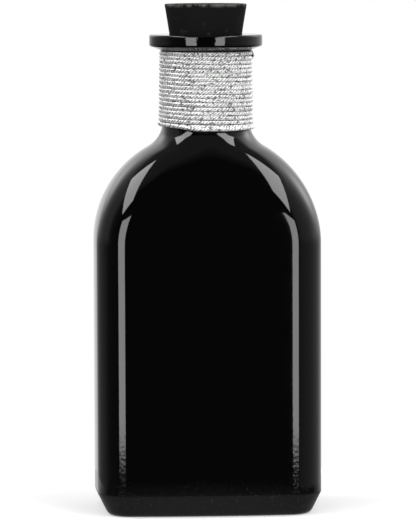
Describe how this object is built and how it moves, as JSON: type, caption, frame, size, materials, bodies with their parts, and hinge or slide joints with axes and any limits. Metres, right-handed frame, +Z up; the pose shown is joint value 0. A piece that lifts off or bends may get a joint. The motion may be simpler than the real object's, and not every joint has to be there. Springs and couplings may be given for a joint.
{
  "type": "bottle",
  "caption": "Flat rectangular glass flask with rounded shoulders, a lipped round neck wound with cord, and a tapered pull-out stopper.",
  "frame": {"origin": "middle of the base, on the surface that the flask stands on", "axes": "+Z up along the neck, +X across the wide front, -Y out of the front"},
  "size_m": [0.0636, 0.042, 0.1425],
  "materials": {
    "black_glass": "glossy, opaque black glass",
    "silver_cord": "twisted metallic silver thread",
    "black_cork": "matt black stained cork"
  },
  "bodies": {
    "flask": {"bottle": "black_glass", "neck_cord": "silver_cord"},
    "plug": {"stopper": "black_cork"}
  },
  "joints": [
    {"name": "stopper_pull", "type": "slide", "parent": "flask", "child": "plug", "axis": [0, 0, 1], "range_m": [0, 0.03]}
  ]
}
